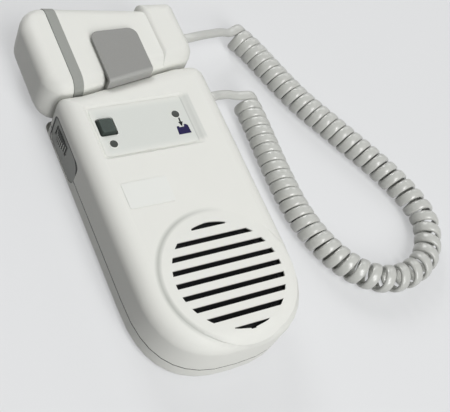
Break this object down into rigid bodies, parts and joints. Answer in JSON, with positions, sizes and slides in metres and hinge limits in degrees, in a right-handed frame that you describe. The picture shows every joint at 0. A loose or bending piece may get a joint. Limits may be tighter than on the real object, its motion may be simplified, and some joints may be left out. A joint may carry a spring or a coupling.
{
  "type": "handheld vascular doppler",
  "caption": "Handheld vascular doppler: a rounded loudspeaker unit with a thumbwheel and push button, its probe clipped across the top end and joined to it by a flat curly cord.",
  "frame": {"origin": "middle of the resting face of the unit with its probe in place, the cord left out", "axes": "+Z out of the front face, +Y from the loudspeaker end towards the probe, +X to the right as the front face is seen"},
  "size_m": [0.1805, 0.1812, 0.0355],
  "materials": {
    "white_shell": "satin, slightly warm white",
    "grey_plastic": "fine matt grey",
    "grey_rubber": "matt",
    "dark_button": "satin dark green-grey",
    "lamp_lens": "clear smoked",
    "overlay": "matt film",
    "bare_plate": "satin film",
    "cord_plastic": "glossy, semi-soft",
    "steel": "zinc plated",
    "board": "green solder mask",
    "black_plastic": "matt",
    "capacitor_sleeve": "shrink sleeve",
    "magnet": "bare ferrite and plate",
    "cone_paper": "treated paper",
    "gasket_foam": "closed-cell foam",
    "battery_can": "printed can, left plain",
    "foam": "open foam",
    "crystal_ceramic": "fired ceramic",
    "backing_resin": "cast resin"
  },
  "bodies": {
    "unit": {"front_shell": "white_shell", "back_shell": "white_shell", "wheel_bezel": "grey_plastic", "probe_clip": "grey_plastic", "clip_screw_1": "steel", "clip_screw_2": "steel", "panel_overlay": "overlay", "name_plate": "bare_plate", "power_led_lens": "lamp_lens", "signal_led_lens": "lamp_lens", "power_switch": "black_plastic", "main_board": "board", "board_screw_1": "steel", "board_screw_2": "steel", "board_screw_3": "steel", "board_screw_4": "steel", "amplifier_chip": "black_plastic", "output_capacitor": "capacitor_sleeve", "volume_pot": "black_plastic", "speaker_gasket": "gasket_foam", "speaker_basket": "steel", "speaker_cone": "cone_paper", "speaker_magnet": "magnet", "speaker_screw_1": "steel", "speaker_screw_2": "steel", "speaker_screw_3": "steel", "battery": "battery_can", "battery_snap": "black_plastic", "battery_pad": "foam", "case_screw_1": "steel", "case_screw_2": "steel", "case_screw_3": "steel", "case_screw_4": "steel", "housing_gland": "cord_plastic", "cord_coil": "cord_plastic", "cord_tail_housing": "cord_plastic"},
    "power_button": {"power_button": "dark_button"},
    "volume_wheel": {"volume_wheel": "grey_plastic", "volume_shaft": "steel", "wheel_screw": "steel"},
    "battery_door": {"battery_door": "white_shell"},
    "probe": {"probe_front_shell": "white_shell", "probe_back_shell": "white_shell", "probe_face_cap": "white_shell", "probe_band": "grey_rubber", "transmit_crystal": "crystal_ceramic", "receive_crystal": "crystal_ceramic", "crystal_backing": "backing_resin", "probe_board": "board", "probe_board_screw_1": "steel", "probe_board_screw_2": "steel", "probe_screw_1": "steel", "probe_screw_2": "steel", "probe_gland": "cord_plastic", "cord_tail_probe": "cord_plastic"}
  },
  "joints": [
    {"name": "probe_lift", "type": "slide", "parent": "unit", "child": "probe", "axis": [0, 1, 0], "range_m": [0, 0.045]},
    {"name": "power_press", "type": "slide", "parent": "unit", "child": "power_button", "axis": [0, 0, -1], "range_m": [0, 0.0005], "stiffness_N_per_m": 1000, "springref_m": -0.0005},
    {"name": "volume_turn", "type": "hinge", "parent": "unit", "child": "volume_wheel", "pos_m": [-0.02665, 0.02789, 0.0148], "axis": [0, 0, 1], "range_deg": [0, 270]},
    {"name": "battery_door_slide", "type": "slide", "parent": "unit", "child": "battery_door", "axis": [-1, 0, 0], "range_m": [0, 0.062]}
  ]
}
